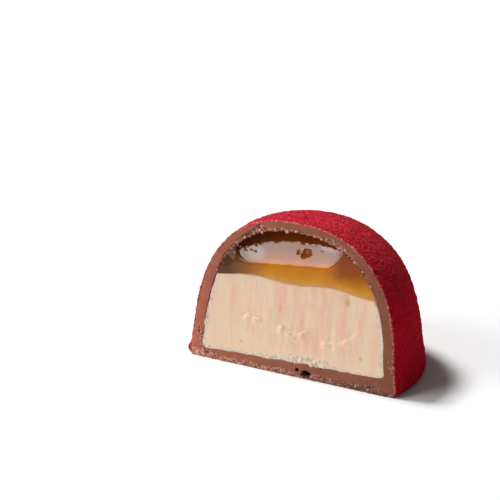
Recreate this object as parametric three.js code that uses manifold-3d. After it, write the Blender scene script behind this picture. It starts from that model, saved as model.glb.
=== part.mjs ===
// A velvet-sprayed chocolate praline, cut through with a knife to show its filling.
//
// A dome of milk chocolate stands on a cast base cap. It holds a block of fruit cream with
// a glossy caramel jelly on top, which has an air bubble in it, and the outside is sprayed
// with a thin red velvet coat. The knife cut faces -Y and leans back a little, in front of
// the dome's axis, so that slightly more than half of the praline is left.
//
// Millimetres, +Z up. The origin is on the dome's axis, at the underside of the base cap.

import * as THREE from 'three';
import { mergeVertices } from 'three/addons/utils/BufferGeometryUtils.js';
import Module from 'manifold-3d';

const wasm = await Module();
wasm.setup();

// The dome's outline
const DOME_RADIUS = 15;
const DOME_HEIGHT = 19.4;
const WALL_HEIGHT = 1.9;
const WALL_DRAFT = 0.035;
const DRAFT_HEIGHT = 5;
const DOME_FULLNESS = 2.42;
const FOOT_ROUND = 0.9;

// The knife cut, measured on the floor from the dome's axis
const CUT_FORWARD = 3.5;
const CUT_LEAN = THREE.MathUtils.degToRad(6);

// The layers
const COAT_THICKNESS = 0.25;
const COAT_FLOOR_CLEARANCE = 0.25;
const SHELL_WALL = 1.15;
const SHELL_CROWN = 0.85;
const BASE_THICKNESS = 1.75;
const BASE_TILT = THREE.MathUtils.degToRad(2.6);
const BASE_TILT_REACH = 7;
const BASE_CORNER_ROUND = 0.8;
const CREAM_TOP = 11.6;
const CREAM_TILT = THREE.MathUtils.degToRad(1);
const CREAM_WAVES = [
  { rise: 0.36, length: 43, crest: 1 },
  { rise: 0.22, length: 11, crest: 4.2 },
];
const CREAM_WAVE_SLANT = 0.3;
const CREAM_TOP_CELLS = [34, 16, 1];
const CREAM_KNIFE_DRAG = 0.1;
const LAYER_GAP = 0.1;

// The air bubble that the knife opened in the caramel, measured across and up the cut face.
// Its lip rises slowly to the right and turns up at both ends: steeply at the right, and at the
// left gently first. Its floor slopes back from the lip, and its walls at the ends are steep.
const LIP_UP = 14;
const LIP_RISE = 0.115;
const LIP_LEFT = { from: -8.5, reach: 0.45 };
const LIP_EASE = { from: -6.6, reach: 2.35 };
const LIP_RIGHT = { from: 4.2, reach: 1.4 };
const BUBBLE_FLOOR_SLOPE = 0.56;
const BUBBLE_WALL_SLOPE = 2;

// The broken places of the chocolate
const CHIP_SIZE = 0.34;
const LIP_CHIPS = 30;
const LIP_SPAN = [-9.6, 7.6];
const EDGE_CHIPS = 34;
const EDGE_CRUMBS = 30;
const EDGE_SPAN = 13.2;
const NOTCH_PLACE = [1.5, 0.45];
const SCAR_PLACES = [[-13.3, 3.0], [13.9, 3.9]];

// How finely the curves are cut into facets
const SEGMENTS_AROUND = 48;
const DOME_ROWS = 11;
const FOOT_ROWS = 2;
const CORNER_ROWS = 3;
const BUBBLE_BLOCK = [22, 9];
const BUBBLE_CELLS = [64, 1, 26];
const FINEST_DETAIL = 0.02;

const FAR = 40;

// Repeatable random numbers from 0 to 1
function makeRandom(seed) {
  let state = seed;
  return () => {
    state = (state * 1664525 + 1013904223) % 4294967296;
    return state / 4294967296;
  };
}

// A closed three.js geometry as a solid that can be cut and joined
function toSolid(geometry) {
  geometry.deleteAttribute('normal');
  geometry.deleteAttribute('uv');
  const merged = mergeVertices(geometry, 1e-4);
  const index = merged.index.array;
  const triangles = [];
  for (let i = 0; i < index.length; i += 3) {
    const [a, b, c] = [index[i], index[i + 1], index[i + 2]];
    if (a !== b && b !== c && c !== a) triangles.push(a, b, c);
  }
  return new wasm.Manifold(new wasm.Mesh({
    numProp: 3,
    vertProperties: new Float32Array(merged.attributes.position.array),
    triVerts: new Uint32Array(triangles),
  }));
}

// The largest body of a solid, without loose scraps and without facets too fine to matter
function largestBody(solid) {
  const bodies = solid.simplify(FINEST_DETAIL).decompose();
  return bodies.reduce((best, body) => (body.volume() > best.volume() ? body : best));
}

// A surface of revolution about Z. The profile's points run down its outer side, and they
// are turned round here so that the faces look outwards.
function lathe(profile) {
  return new THREE.LatheGeometry([...profile].reverse(), SEGMENTS_AROUND).rotateX(Math.PI / 2);
}

// Radius of the wall at a height, moved in by inset: it leans in a little as it rises
function wallRadius(inset, z) {
  return (DOME_RADIUS - inset) * (1 - WALL_DRAFT * THREE.MathUtils.smoothstep(z, 0, DRAFT_HEIGHT));
}

// Half of the dome's outline, as [radius, height] points from the crown down to the wall.
// inset moves the wall in and drop lowers the crown.
function domeOutline(inset, drop) {
  const curveHeight = DOME_HEIGHT - drop - WALL_HEIGHT;
  const points = [];
  for (let row = 0; row <= DOME_ROWS; row += 1) {
    const angle = (Math.PI / 2) * (1 - row / DOME_ROWS);
    const across = row === 0 ? 0 : Math.cos(angle) ** (2 / DOME_FULLNESS);
    const up = row === DOME_ROWS ? 0 : Math.sin(angle) ** (2 / DOME_FULLNESS);
    const z = WALL_HEIGHT + curveHeight * up;
    points.push(new THREE.Vector2(wallRadius(inset, z) * across, z));
  }
  return points;
}

// The outline's rounded foot, from the wall down to the given height
function footOutline(inset, lowest) {
  const points = [];
  const lastAngle = Math.asin((FOOT_ROUND - lowest) / FOOT_ROUND);
  for (let row = 0; row <= FOOT_ROWS; row += 1) {
    const angle = lastAngle * (row / FOOT_ROWS);
    const z = FOOT_ROUND * (1 - Math.sin(angle));
    const radius = wallRadius(inset, z) - FOOT_ROUND * (1 - Math.cos(angle));
    points.push(new THREE.Vector2(radius, z));
  }
  return points;
}

// A block with one side shaped by a relief: side is the axis that the shaped face looks
// along, and relief gives how far that face stands out at its two other coordinates
function reliefBlock(size, segments, side, relief) {
  const geometry = new THREE.BoxGeometry(...size, ...segments);
  const position = geometry.attributes.position;
  const point = new THREE.Vector3();
  const face = new THREE.Vector3(...size).getComponent(side) / 2;
  for (let i = 0; i < position.count; i += 1) {
    point.fromBufferAttribute(position, i);
    if (Math.abs(point.getComponent(side) - face) < 1e-6) {
      point.setComponent(side, face + relief(point));
      position.setXYZ(i, point.x, point.y, point.z);
    }
  }
  return geometry;
}

// What the knife took away, with the cut moved back by setback. relief gives the fine
// unevenness that a soft layer keeps on its cut face.
function knifeCut(setback, relief = () => 0, segments = [1, 1, 1]) {
  const block = reliefBlock([FAR * 2, FAR, FAR], segments, 1, relief);
  block.translate(0, -FAR / 2, FAR / 2 - 5);
  block.rotateX(-CUT_LEAN);
  block.translate(0, setback - CUT_FORWARD, 0);
  return toSolid(block);
}

// The y of the cut face at a height
function cutDepth(z) {
  return z * Math.tan(CUT_LEAN) - CUT_FORWARD;
}

// Everything below a plane that rises gently towards +X, as far as the wavy top of the cream
function belowCreamTop(height) {
  const surface = (point) => {
    const along = point.x + CREAM_WAVE_SLANT * point.y;
    return CREAM_WAVES.reduce(
      (sum, wave) => sum + wave.rise * Math.cos(2 * Math.PI * (along - wave.crest) / wave.length), 0);
  };
  const block = reliefBlock([FAR, FAR, FAR], CREAM_TOP_CELLS, 2, surface);
  block.translate(0, 0, -FAR / 2);
  block.rotateY(-CREAM_TILT);
  block.translate(0, 0, height);
  return toSolid(block);
}

// The space inside the shell, shrunk on all sides by a gap: the dome's curve, rounded corners
// at the base cap, and a floor that rises a little towards +X
function cavity(gap) {
  const inset = COAT_THICKNESS + LAYER_GAP + SHELL_WALL + gap;
  const outline = domeOutline(inset, COAT_THICKNESS + LAYER_GAP + SHELL_CROWN + gap).slice(0, -1);
  const wall = wallRadius(inset, BASE_THICKNESS + BASE_CORNER_ROUND);
  for (let row = 0; row <= CORNER_ROWS; row += 1) {
    const angle = (Math.PI / 2) * (row / CORNER_ROWS);
    outline.push(new THREE.Vector2(
      wall - BASE_CORNER_ROUND * (1 - Math.cos(angle)),
      BASE_THICKNESS + gap + BASE_CORNER_ROUND * (1 - Math.sin(angle))));
  }
  outline.push(new THREE.Vector2(0, BASE_THICKNESS + gap));
  const geometry = lathe(outline);
  const position = geometry.attributes.position;
  for (let i = 0; i < position.count; i += 1) {
    const near = Math.max(0, 1 - position.getZ(i) / BASE_TILT_REACH);
    position.setZ(i, position.getZ(i) + near * position.getX(i) * Math.tan(BASE_TILT));
  }
  return toSolid(geometry);
}

// The velvet coat: a thin skin over the dome's wall and crown, open below
function velvetCoat() {
  const outside = domeOutline(0, 0).concat(footOutline(0, COAT_FLOOR_CLEARANCE));
  const inside = domeOutline(COAT_THICKNESS, COAT_THICKNESS)
    .concat(footOutline(COAT_THICKNESS, COAT_FLOOR_CLEARANCE));
  return toSolid(lathe(outside.concat(inside.reverse()))).subtract(knifeCut(0));
}

// One broken fragment of chocolate, used as a crumb to join or a chip to take away
function fragment(random, x, y, z, size) {
  const geometry = new THREE.IcosahedronGeometry(size, 0);
  geometry.scale(0.7 + 0.9 * random(), 0.7 + 0.6 * random(), 0.7 + 0.6 * random());
  geometry.rotateX(Math.PI * random());
  geometry.rotateZ(Math.PI * random());
  geometry.translate(x, y, z);
  return toSolid(geometry);
}

// Height of the cavity's ceiling where the cut crosses it at x
function ceilingHeight(x) {
  const inset = COAT_THICKNESS + LAYER_GAP + SHELL_WALL;
  const drop = COAT_THICKNESS + LAYER_GAP + SHELL_CROWN;
  const curveHeight = DOME_HEIGHT - drop - WALL_HEIGHT;
  const share = Math.hypot(x, cutDepth(DOME_HEIGHT * 0.9)) / wallRadius(inset, DOME_HEIGHT);
  const up = (1 - share ** DOME_FULLNESS) ** (1 / DOME_FULLNESS);
  return WALL_HEIGHT + curveHeight * up;
}

// Chips along the ceiling's lip, where the shell broke over the bubble
function lipChips(random) {
  const chips = [];
  for (let i = 0; i < LIP_CHIPS; i += 1) {
    const x = THREE.MathUtils.lerp(...LIP_SPAN, (i + random()) / LIP_CHIPS);
    const z = ceilingHeight(x) + CHIP_SIZE * (0.5 * random() - 0.15);
    chips.push(fragment(random, x, cutDepth(z), z, CHIP_SIZE * (0.7 + 0.6 * random())));
  }
  return chips;
}

// Chips along the lower edge of the cut, a deeper notch in it, and a scar on each wall
function edgeChips(random) {
  const chips = [];
  for (let i = 0; i < EDGE_CHIPS; i += 1) {
    const x = THREE.MathUtils.lerp(-EDGE_SPAN, EDGE_SPAN, (i + random()) / EDGE_CHIPS);
    chips.push(fragment(random, x, cutDepth(0) - 0.1, 0.1, CHIP_SIZE * (0.7 + 0.8 * random())));
  }
  const [notchX, notchZ] = NOTCH_PLACE;
  chips.push(fragment(random, notchX, cutDepth(notchZ), notchZ, CHIP_SIZE * 1.7));
  for (const [x, z] of SCAR_PLACES) {
    chips.push(fragment(random, x, cutDepth(z), z, CHIP_SIZE * 1.2));
  }
  return chips;
}

// Crumbs that stand out of the rough band below the cut face of the base cap
function edgeCrumbs(random) {
  const crumbs = [];
  for (let i = 0; i < EDGE_CRUMBS; i += 1) {
    const x = THREE.MathUtils.lerp(-EDGE_SPAN, EDGE_SPAN, (i + random()) / EDGE_CRUMBS);
    const z = 0.42 + 0.16 * random();
    crumbs.push(fragment(random, x, cutDepth(z) + 0.1, z, CHIP_SIZE * (0.6 + 0.35 * random())));
  }
  return crumbs;
}

// The chocolate shell: the dome's wall and its base cap, cast into one piece
function chocolateShell() {
  const inset = COAT_THICKNESS + LAYER_GAP;
  const outline = domeOutline(inset, inset).concat(footOutline(inset, 0));
  outline.push(new THREE.Vector2(0, 0));
  const random = makeRandom(41);
  let shell = toSolid(lathe(outline)).subtract(cavity(0)).subtract(knifeCut(0));
  shell = shell.add(wasm.Manifold.union(edgeCrumbs(random)));
  shell = shell.subtract(wasm.Manifold.union(lipChips(random).concat(edgeChips(random))));
  return largestBody(shell);
}

// The cream: it fills the shell up to a soft wavy top, and its cut face keeps the knife's drag
function creamFilling() {
  const drag = (point) => CREAM_KNIFE_DRAG * (
    Math.sin(point.x * 1.9) * Math.sin(point.x * 0.6 + 1) + 0.6 * Math.sin(point.z * 0.7));
  const filling = cavity(LAYER_GAP).intersect(belowCreamTop(CREAM_TOP));
  return largestBody(filling.subtract(knifeCut(0.15, drag, [110, 1, 16])));
}

// The opened bubble: a block whose back face is the bubble's floor and walls
function bubble() {
  const [width, height] = BUBBLE_BLOCK;
  const middleUp = LIP_UP + height / 3;
  const floor = (point) => {
    const aboveLine = point.z + middleUp - LIP_UP - LIP_RISE * (point.x + 1);
    const left = Math.max(0, LIP_LEFT.from - point.x) / LIP_LEFT.reach;
    const ease = Math.max(0, LIP_EASE.from - point.x) / LIP_EASE.reach;
    const right = Math.max(0, point.x - LIP_RIGHT.from) / LIP_RIGHT.reach;
    const aboveLip = aboveLine - left ** 2 - ease ** 2 - right ** 2;
    return Math.min(BUBBLE_FLOOR_SLOPE * aboveLine, BUBBLE_WALL_SLOPE * aboveLip);
  };
  const block = reliefBlock([width, FAR, height], BUBBLE_CELLS, 1, floor);
  block.translate(0, -FAR / 2, middleUp);
  block.rotateX(-CUT_LEAN);
  block.translate(0, -CUT_FORWARD, 0);
  return toSolid(block);
}

// The caramel jelly: from the cream up to the crown, with the opened bubble in its face
function caramelLayer() {
  const cap = cavity(LAYER_GAP)
    .subtract(belowCreamTop(CREAM_TOP + LAYER_GAP))
    .subtract(knifeCut(0.1));
  return largestBody(cap.subtract(bubble()));
}

// A solid as a named mesh with its own material
function toMesh(name, solid, color, roughness) {
  const { vertProperties, triVerts } = solid.getMesh();
  const geometry = new THREE.BufferGeometry();
  geometry.setAttribute('position', new THREE.BufferAttribute(new Float32Array(vertProperties), 3));
  geometry.setIndex(new THREE.BufferAttribute(new Uint32Array(triVerts), 1));
  geometry.computeVertexNormals();
  const mesh = new THREE.Mesh(geometry, new THREE.MeshStandardMaterial({ color, roughness }));
  mesh.name = name;
  return mesh;
}

const praline = new THREE.Group();
praline.name = 'cut_praline';
praline.add(toMesh('velvet_coat', velvetCoat(), 0x93122a, 0.95));
praline.add(toMesh('chocolate_shell', chocolateShell(), 0x8c5443, 0.5));
praline.add(toMesh('cream_filling', creamFilling(), 0xe9cbab, 0.6));
praline.add(toMesh('caramel_layer', caramelLayer(), 0xb8741f, 0.1));

export default praline;
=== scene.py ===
import math

import bmesh
import bpy
import numpy as np
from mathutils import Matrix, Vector


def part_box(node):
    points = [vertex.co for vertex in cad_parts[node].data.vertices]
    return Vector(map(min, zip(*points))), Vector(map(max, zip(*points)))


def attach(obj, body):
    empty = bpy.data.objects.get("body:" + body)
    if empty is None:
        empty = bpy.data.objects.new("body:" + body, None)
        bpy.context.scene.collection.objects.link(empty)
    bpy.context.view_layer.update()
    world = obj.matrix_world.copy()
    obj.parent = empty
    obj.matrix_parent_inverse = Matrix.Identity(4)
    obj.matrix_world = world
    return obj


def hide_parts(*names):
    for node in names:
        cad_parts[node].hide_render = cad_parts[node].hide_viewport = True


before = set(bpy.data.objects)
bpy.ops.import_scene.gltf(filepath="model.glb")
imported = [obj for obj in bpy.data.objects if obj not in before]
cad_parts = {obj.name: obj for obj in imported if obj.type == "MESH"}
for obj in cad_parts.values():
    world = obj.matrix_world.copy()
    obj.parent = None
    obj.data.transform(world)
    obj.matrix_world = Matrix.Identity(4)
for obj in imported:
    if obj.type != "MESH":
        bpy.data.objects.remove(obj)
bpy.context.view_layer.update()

# Sizes are in millimetres and turned into metres when a mesh is made.
MM = 0.001

# The dome and the cut, as the solids have them
DOME_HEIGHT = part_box("velvet_coat")[1][2] / MM
DOME_RADIUS = 15.0
WALL_HEIGHT = 1.9
WALL_DRAFT = 0.035
DRAFT_HEIGHT = 5.0
DOME_FULLNESS = 2.42
FOOT_ROUND = 0.9
CUT_FORWARD = 3.5
CUT_LEAN = math.radians(6)

# The layers, which touch each other here
COAT_THICKNESS = 0.2
COAT_LOWEST = 0.12
SHELL_WALL = 1.5
SHELL_CROWN = 1.2
BASE_THICKNESS = 1.75
BASE_TILT = math.tan(math.radians(2.6))
BASE_TILT_REACH = 7.0
BASE_CORNER_ROUND = 0.8
CREAM_TOP = 11.6
CREAM_TILT = math.tan(math.radians(1))
# The waves in the cream's top: the height, length and crest of each
CREAM_WAVES = [(0.36, 43.0, 1.0), (0.22, 11.0, 4.2)]
CREAM_WAVE_SLANT = 0.3
OVERLAP = 0.04

# Directions in the cut face: across, up along it, and back into the praline
CUT_ACROSS = np.array([1.0, 0.0, 0.0])
CUT_UP = np.array([0.0, math.sin(CUT_LEAN), math.cos(CUT_LEAN)])
CUT_BACK = np.array([0.0, math.cos(CUT_LEAN), -math.sin(CUT_LEAN)])
CUT_FOOT = np.array([0.0, -CUT_FORWARD, 0.0])

# The bubble that the knife opened in the jelly. The line of its lip goes through LIP_START, rises
# slowly to the right, dips once and turns up at both ends. Its floor slopes back from the lip.
LIP_START = (-1, 14.0)
LIP_RISE = 0.115
LIP_LEFT, LIP_LEFT_REACH = -8.5, 0.45
LIP_EASE, LIP_EASE_REACH = -6.6, 2.35
LIP_RIGHT, LIP_RIGHT_REACH = 4.2, 1.4
LIP_DIP, LIP_DIP_REACH, LIP_DIP_DEPTH = -3.4, 0.8, 0.3
FLOOR_SLOPE = 0.54
FLOOR_CURVE = 0.010
# The dimple in the floor: its middle across and up, and how far it reaches
DIMPLE = (0.38, 15.5)
DIMPLE_REACH = (0.95, 0.66)
DIMPLE_DEPTH = 0.42
JELLY_BULGE = 0.10

# Points closer than JOIN_DISTANCE become one. Rays are followed to RAY_LENGTH, and where they
# leave a space is found by halving.
JOIN_DISTANCE = 1e-4
RAY_LENGTH = 40.0
RAY_HALVINGS = 36
FLOOR_TOLERANCE = 1e-9


def smooth(low, high, value):
    """0 below low, 1 above high, and a smooth step between them."""
    share = np.clip((value - low) / (high - low), 0, 1)
    return share * share * (3 - 2 * share)


def fade(low, high, value):
    """1 below low, 0 above high, and a smooth step between them."""
    return 1 - smooth(low, high, value)


def hump(value, middle, width):
    """1 where a value is at the middle, falling to 0 on both sides of it."""
    return np.exp(-((value - middle) / width) ** 2)


def unit(offset):
    """Offsets brought to the length 1."""
    return offset / np.linalg.norm(offset, axis=-1)[..., None]


def lattice_value(cell, seed):
    """A repeatable random value from -1 to 1 for each whole-number cell."""
    cell = cell.astype(np.int64)
    mixed = cell[..., 0] * 73856093 ^ cell[..., 1] * 19349663 ^ cell[..., 2] * 83492791
    mixed = (mixed + seed * 374761393) & 0xFFFFFFFF
    mixed = ((mixed ^ (mixed >> 13)) * 1274126177) & 0xFFFFFFFF
    mixed = ((mixed ^ (mixed >> 16)) * 2246822519) & 0xFFFFFFFF
    return (mixed ^ (mixed >> 15)) / 2147483648.0 - 1.0


def grain(points, size, seed):
    """Smooth random relief from -1 to 1 whose lumps are about size across."""
    scaled = points / size
    cell = np.floor(scaled)
    inside = scaled - cell
    weight = inside * inside * (3 - 2 * inside)
    total = np.zeros(points.shape[:-1])
    for corner in range(8):
        step = np.array([corner & 1, corner >> 1 & 1, corner >> 2 & 1])
        share = np.prod(np.where(step == 1, weight, 1 - weight), axis=-1)
        total += share * lattice_value(cell + step, seed)
    return total


def layered_grain(points, size, seed, layers=3):
    """Relief with finer and fainter lumps on top of the coarse ones."""
    total = np.zeros(points.shape[:-1])
    for layer in range(layers):
        total += grain(points, size / 2 ** layer, seed + layer) / 2 ** layer
    return total


def facets(points, size, seed):
    """Relief from -1 to 1 like a brittle break: flat tilted facets about size across."""
    scaled = points / size
    cell = np.floor(scaled)
    nearest = np.full(points.shape[:-1], np.inf)
    height = np.zeros(points.shape[:-1])
    for neighbour in range(27):
        step = np.array([neighbour % 3, neighbour // 3 % 3, neighbour // 9]) - 1
        corner = cell + step
        jitter = np.stack([lattice_value(corner, seed + axis) for axis in range(3)], axis=-1)
        offset = scaled - corner - 0.5 - 0.4 * jitter
        distance = np.linalg.norm(offset, axis=-1)
        tilt = np.sum(offset * jitter[..., ::-1], axis=-1)
        facet = 0.6 * lattice_value(corner, seed + 3) + tilt
        height = np.where(distance < nearest, facet, height)
        nearest = np.minimum(nearest, distance)
    return height


def dome_radius(z, inset, drop):
    """Radius of the dome at a height, moved in by inset and lowered by drop; -1 outside it."""
    crown = DOME_HEIGHT - drop
    wall = (DOME_RADIUS - inset) * (1 - WALL_DRAFT * smooth(0, DRAFT_HEIGHT, z))
    up = np.clip((z - WALL_HEIGHT) / (crown - WALL_HEIGHT), 0, 1)
    radius = wall * (1 - up ** DOME_FULLNESS) ** (1 / DOME_FULLNESS)
    foot = np.clip((FOOT_ROUND - z) / FOOT_ROUND, 0, 1)
    radius = radius - FOOT_ROUND * (1 - np.sqrt(1 - foot * foot))
    return np.where((z < -FLOOR_TOLERANCE) | (z > crown), -1.0, radius)


def inside_dome(points, inset):
    """True where points lie in the dome, moved in and lowered by inset."""
    return np.hypot(points[..., 0], points[..., 1]) < dome_radius(points[..., 2], inset, inset)


def inside_cavity(points, grow=0.0):
    """True where points lie in the space in the shell, made larger by grow."""
    x, y, z = points[..., 0], points[..., 1], points[..., 2]
    radius = dome_radius(np.maximum(z, FOOT_ROUND), SHELL_WALL - grow, SHELL_CROWN - grow)
    above = z - (BASE_THICKNESS - grow) - BASE_TILT * x * np.maximum(0, 1 - z / BASE_TILT_REACH)
    corner = np.clip((BASE_CORNER_ROUND - above) / BASE_CORNER_ROUND, 0, 1)
    radius = radius - BASE_CORNER_ROUND * (1 - np.sqrt(1 - corner * corner))
    return (above > 0) & (np.hypot(x, y) < radius)


def cream_height(points):
    """Height of the cream's soft wavy top at each point."""
    along = points[..., 0] + CREAM_WAVE_SLANT * points[..., 1]
    height = CREAM_TOP + CREAM_TILT * points[..., 0]
    for rise, length, crest in CREAM_WAVES:
        height = height + rise * np.cos(2 * math.pi * (along - crest) / length)
    return height


def reach(start, directions, inside):
    """Where rays from start leave the space that inside() describes."""
    near = np.zeros(directions.shape[:-1])
    far = np.full(directions.shape[:-1], RAY_LENGTH)
    for _ in range(RAY_HALVINGS):
        middle = (near + far) / 2
        still_in = inside(start + directions * middle[..., None])
        near = np.where(still_in, middle, near)
        far = np.where(still_in, far, middle)
    return start + directions * near[..., None]


def fan_over(start, inset, columns, rows):
    """The dome behind the cut, moved in by inset and seen from start at its foot: columns of
    points from +X round the back to -X, in rows from the floor up to the cut face."""
    along = np.linspace(0, math.pi, columns)[None, :]
    tilt = np.linspace(0, math.pi / 2 - CUT_LEAN, rows)[:, None]
    directions = np.stack([
        np.cos(along) * np.ones_like(tilt),
        np.sin(along) * np.cos(tilt),
        np.sin(along) * np.sin(tilt)], axis=-1)
    return reach(start, directions, lambda points: inside_dome(points, inset))


def bowl_behind(start, angles, inside, rows):
    """The surface behind the cut face, seen from start on it: a closed ring of points for each
    row, from the cut face back to the point straight behind start."""
    depth = np.linspace(0, math.pi / 2, rows)[:, None]
    ring = (np.cos(angles)[:, None] * CUT_ACROSS + np.sin(angles)[:, None] * CUT_UP)[None]
    directions = np.cos(depth)[..., None] * ring + np.sin(depth)[..., None] * CUT_BACK
    return reach(start, directions, inside)


def filling_surfaces(middle, columns, inside, rows, rings):
    """What lies behind the cut face of a filling, and the face as rings from its middle out."""
    angles = np.linspace(0, 2 * math.pi, columns, endpoint=False)
    rest = bowl_behind(middle, angles, inside, rows)
    return rest, strip(np.repeat(middle[None], columns, axis=0), rest[0], rings)


def face_coordinates(points):
    """How far points lie across, up and back from the foot of the cut face."""
    offset = points - CUT_FOOT
    return offset @ CUT_ACROSS, offset @ CUT_UP, offset @ CUT_BACK


def on_face(across, up):
    """Points on the cut face."""
    across, up = np.broadcast_arrays(across, up)
    return CUT_FOOT + across[..., None] * CUT_ACROSS + up[..., None] * CUT_UP


def strip(first, last, rows):
    """Rows of points that run evenly from one line of points to another."""
    share = np.linspace(0, 1, rows)[:, None, None]
    return first[None] * (1 - share) + last[None] * share


def add_object(name, data):
    """Puts a mesh, a light or a camera into the scene."""
    item = bpy.data.objects.new(name, data)
    bpy.context.scene.collection.objects.link(item)
    return item


def grid_faces(first, rows, columns, closed):
    """The four corners of each face in a grid of points that are numbered from first. In a
    closed grid the last column is joined to the first."""
    index = first + np.arange(rows * columns).reshape(rows, columns)
    if closed:
        index = np.concatenate([index, index[:, :1]], axis=1)
    corners = [index[:-1, :-1], index[:-1, 1:], index[1:, 1:], index[1:, :-1]]
    return np.stack(corners, axis=-1).reshape(-1, 4)


def set_shade(mesh, same, values):
    """Gives a mesh its attribute "shade", which its material reads. Where points were joined,
    the highest value above 0 and the lowest below 0 count."""
    highest, lowest = np.zeros(len(mesh.vertices)), np.zeros(len(mesh.vertices))
    np.maximum.at(highest, same, values)
    np.minimum.at(lowest, same, values)
    mesh.attributes.new("shade", "FLOAT", "POINT").data.foreach_set("value", highest + lowest)


def make_piece(name, patches, closed_rings, shades, underside=np.empty((0, 3))):
    """One closed mesh object from grids of points and the outline of a flat underside, whose
    edges that coincide are joined. The patches numbered in closed_rings run all the way round,
    and shades gives the values of the attribute "shade" for the patches that have any."""
    faces, shade_values = [], []
    count = 0
    for number, patch in enumerate(patches):
        rows, columns = patch.shape[:2]
        faces.append(grid_faces(count, rows, columns, number in closed_rings))
        shade_values.append(shades.get(number, np.zeros((rows, columns))).reshape(-1))
        count += rows * columns
    shade_values.append(np.zeros(len(underside)))
    points = np.concatenate([patch.reshape(-1, 3) for patch in patches] + [underside])
    cells = np.round(points / JOIN_DISTANCE).astype(np.int64)
    _, first, same = np.unique(cells, axis=0, return_index=True, return_inverse=True)
    same = same.reshape(-1)
    polygons = same[np.concatenate(faces)].tolist() + [same[count:].tolist()]
    polygons = [list(dict.fromkeys(corners)) for corners in polygons]
    polygons = [corners for corners in polygons if len(corners) > 2]
    mesh = bpy.data.meshes.new(name)
    mesh.from_pydata((points[first] * MM).tolist(), [], polygons)
    set_shade(mesh, same, np.concatenate(shade_values))
    mesh.validate()
    work = bmesh.new()
    work.from_mesh(mesh)
    bmesh.ops.recalc_face_normals(work, faces=work.faces)
    work.to_mesh(mesh)
    work.free()
    mesh.shade_smooth()
    return add_object(name, mesh)


def finish_piece(piece, material, slot_name, *nodes):
    """Dresses a piece, stands it for its CAD nodes and lets it ride with the praline."""
    piece.data.materials.append(material)
    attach(piece, "root")
    if nodes:
        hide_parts(*nodes)


# The velvet coat

COAT_COLUMNS = 480
COAT_ROWS = 170
HIDDEN_ROWS = 20
COAT_MIDDLE = np.array([0, 0, 4.0])
# The grain and the swell of the spray: the height, size and seed of each
VELVET_RELIEF = [(0.050, 0.36, 11), (0.075, 0.24, 12), (0.05, 4.5, 13)]
# Where the spray has run into a blob, at the left end of the cut's foot, and how far it reaches
FOOT_BLOB = (-14.7, -3.2, 0.9)
FOOT_BLOB_REACH = (0.8, 1.0, 0.6)
FOOT_BLOB_HEIGHT = 0.30
# How far behind the cut the powder on the rim begins and ends to thin out
POWDER_FROM, POWDER_TO = 0.08, 0.45


def velvet_relief(points):
    """Moves the coat's outer skin in and out by the grain, the swell and the blob of its spray."""
    rise = np.zeros(points.shape[:-1])
    for height, size, seed in VELVET_RELIEF:
        rise += height * grain(points, size, seed)
    blob = np.exp(-np.sum(((points - FOOT_BLOB) / FOOT_BLOB_REACH) ** 2, axis=-1))
    rise += FOOT_BLOB_HEIGHT * blob
    return points + unit(points - COAT_MIDDLE) * rise[..., None]


def velvet_coat():
    """The red skin over the dome: its grainy outside, its hidden inside, and both rims."""
    start = CUT_FOOT + np.array([0, COAT_LOWEST * math.tan(CUT_LEAN), COAT_LOWEST])
    outside = velvet_relief(fan_over(start, 0, COAT_COLUMNS, COAT_ROWS))
    inside = fan_over(start, COAT_THICKNESS, COAT_COLUMNS, HIDDEN_ROWS)
    cut_rim = strip(outside[-1], inside[-1], 3)
    floor_rim = strip(outside[0], inside[0], 2)
    back = face_coordinates(outside)[2]
    powder = {0: fade(POWDER_FROM, POWDER_TO, back), 2: np.ones(cut_rim.shape[:2])}
    return make_piece("velvet_coat_skin", [outside, inside, cut_rim, floor_rim], (), powder)


# The chocolate shell

SHELL_COLUMNS = 560
SHELL_FOOT_POINTS = 330
SHELL_FACE_ROWS = 20
SHELL_MIDDLE_UP = 7.0
SHELL_MIDDLE = on_face(0.0, SHELL_MIDDLE_UP)
# The rough band at the foot of the cut, and the lip over the bubble, which is broken from
# LIP_FROM to LIP_TO and only crumbly along its edge from there to EDGE_TO
BAND_HEIGHT = 0.66
LIP_WIDTH = 0.32
LIP_FROM = -11.6
LIP_TO = 7.8
EDGE_TO = 12.0
# A scar on each wall, and the holes in the rough band: across, up, and how wide and high they are
SCARS = [(-13.25, 3.1, 1, 5 / 3), (13.75, 4.0, 1, 5 / 3)]
NOTCHES = [(0.75, 0.95, 0.27, 0.2), (2.0, 0.6, 0.75, 0.42)]
NOTCH_DEPTH = 1.0
LIP_RAGGEDNESS = 0.13


def rough_band(across, up, along):
    """1 in the rough band at the foot of the cut, whose height changes along it."""
    top = BAND_HEIGHT + 0.14 * grain(along, 0.9, 41) + 0.25 * hump(across, 2.6, 1.4)
    top = top + 0.28 * smooth(3.5, 6, across) - 0.45 * smooth(11, 14, across)
    top = top + 0.5 * fade(-12.8, -10.5, across)
    return fade(top - 0.1, top + 0.04, up)


def left_lip(across):
    """1 in the left part of the broken lip, where it is deeper, falling to 0 over the bubble."""
    return fade(-6.5, -4, across)


def broken_lip(across, up, along, from_inside):
    """1 on the broken lip over the bubble, which is wider at both ends and at one chip."""
    width = LIP_WIDTH + 0.10 * grain(along, 0.8, 42) + 0.3 * left_lip(across) * smooth(-12, -8, across)
    width = width + 0.45 * hump(across, -5.7, 0.8) + 0.36 * smooth(2.5, 4.5, across)
    over_bubble = smooth(LIP_FROM, LIP_FROM + 1, across) * fade(LIP_TO - 1, LIP_TO, across)
    return over_bubble * smooth(8, 12, up) * fade(width - 0.12, width, from_inside)


def nearest_of(places, across, up):
    """The distance to the nearest of some places, as a share of how wide and high it is."""
    return np.min([
        np.hypot((across - place_across) / wide, (up - place_up) / high)
        for place_across, place_up, wide, high in places], axis=0)


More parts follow.
